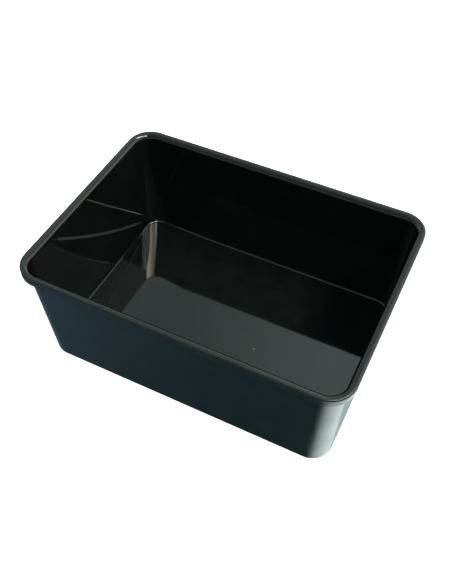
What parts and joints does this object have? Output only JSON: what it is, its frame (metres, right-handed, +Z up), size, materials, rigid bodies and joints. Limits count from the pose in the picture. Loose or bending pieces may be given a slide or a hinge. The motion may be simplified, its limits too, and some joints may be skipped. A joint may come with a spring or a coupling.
{
  "type": "mortar mixing tub",
  "caption": "Rectangular plastic mixing tub with drafted walls, rounded corners, a flat floor and a rolled rim with a turned-down lip.",
  "frame": {"origin": "middle of the base, on the ground", "axes": "+X along the length, +Y across the width towards the back, +Z up"},
  "size_m": [0.65, 0.47, 0.25],
  "materials": {
    "black_plastic": "glossy black moulded plastic, slightly worn"
  },
  "bodies": {
    "root": {"floor_panel": "black_plastic", "front_wall": "black_plastic", "back_wall": "black_plastic", "left_wall": "black_plastic", "right_wall": "black_plastic", "front_left_corner": "black_plastic", "front_right_corner": "black_plastic", "back_left_corner": "black_plastic", "back_right_corner": "black_plastic", "front_rim": "black_plastic", "back_rim": "black_plastic", "left_rim": "black_plastic", "right_rim": "black_plastic", "front_left_rim_corner": "black_plastic", "front_right_rim_corner": "black_plastic", "back_left_rim_corner": "black_plastic", "back_right_rim_corner": "black_plastic"}
  },
  "joints": []
}
